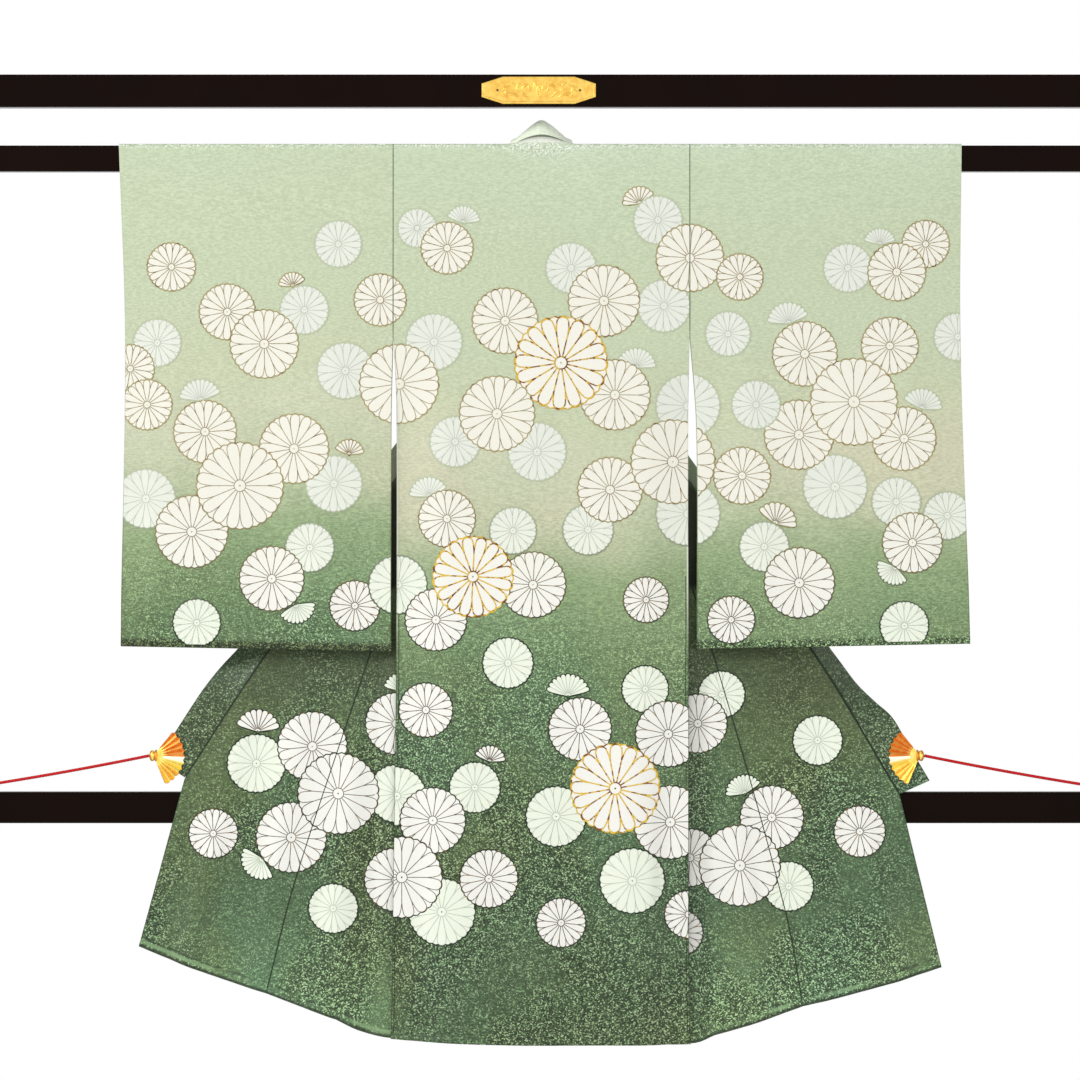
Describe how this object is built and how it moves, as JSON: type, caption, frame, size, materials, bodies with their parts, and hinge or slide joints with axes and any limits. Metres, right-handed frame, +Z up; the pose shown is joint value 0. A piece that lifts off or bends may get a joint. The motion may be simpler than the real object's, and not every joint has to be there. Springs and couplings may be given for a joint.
{
  "type": "child kimono on a lacquered kimono rack",
  "caption": "Baby's ceremonial silk kimono, back outward and fronts opened by fan clips on taut cords, hung on the rail of a lacquered standing rack.",
  "frame": {"origin": "on the floor, under the middle of the rack", "axes": "+Z up, +X along the rails to the right of someone who looks at the garment's back, +Y away from that viewer, towards the garment's fronts"},
  "size_m": [1.58, 0.4, 1.4996],
  "materials": {
    "silk_crepe": "silk crepe shaded from pale green at the shoulder to deep green at the hem",
    "lining_silk": "plain fine silk, slight sheen",
    "motif_cream": "dyed cream, matt",
    "motif_gold": "gold paste and couched gold thread",
    "lacquer": "near-black brown lacquer, glossy",
    "gilt": "gilt, satin",
    "red_cord": "twisted red cord"
  },
  "bodies": {
    "root": {"back_panel": "silk_crepe", "front_left": "silk_crepe", "front_right": "silk_crepe", "okumi_left": "silk_crepe", "okumi_right": "silk_crepe", "collar": "silk_crepe", "sleeve_left": "silk_crepe", "sleeve_right": "silk_crepe", "rail_top": "lacquer", "rail_middle": "lacquer", "rail_lower": "lacquer", "post_left": "lacquer", "post_right": "lacquer", "foot_left": "lacquer", "foot_right": "lacquer", "gold_plate": "gilt", "fan_left": "gilt", "fan_right": "gilt", "clip_left": "gilt", "clip_right": "gilt", "cord_left": "red_cord", "cord_right": "red_cord", "tie_left": "red_cord", "tie_right": "red_cord"}
  },
  "joints": []
}
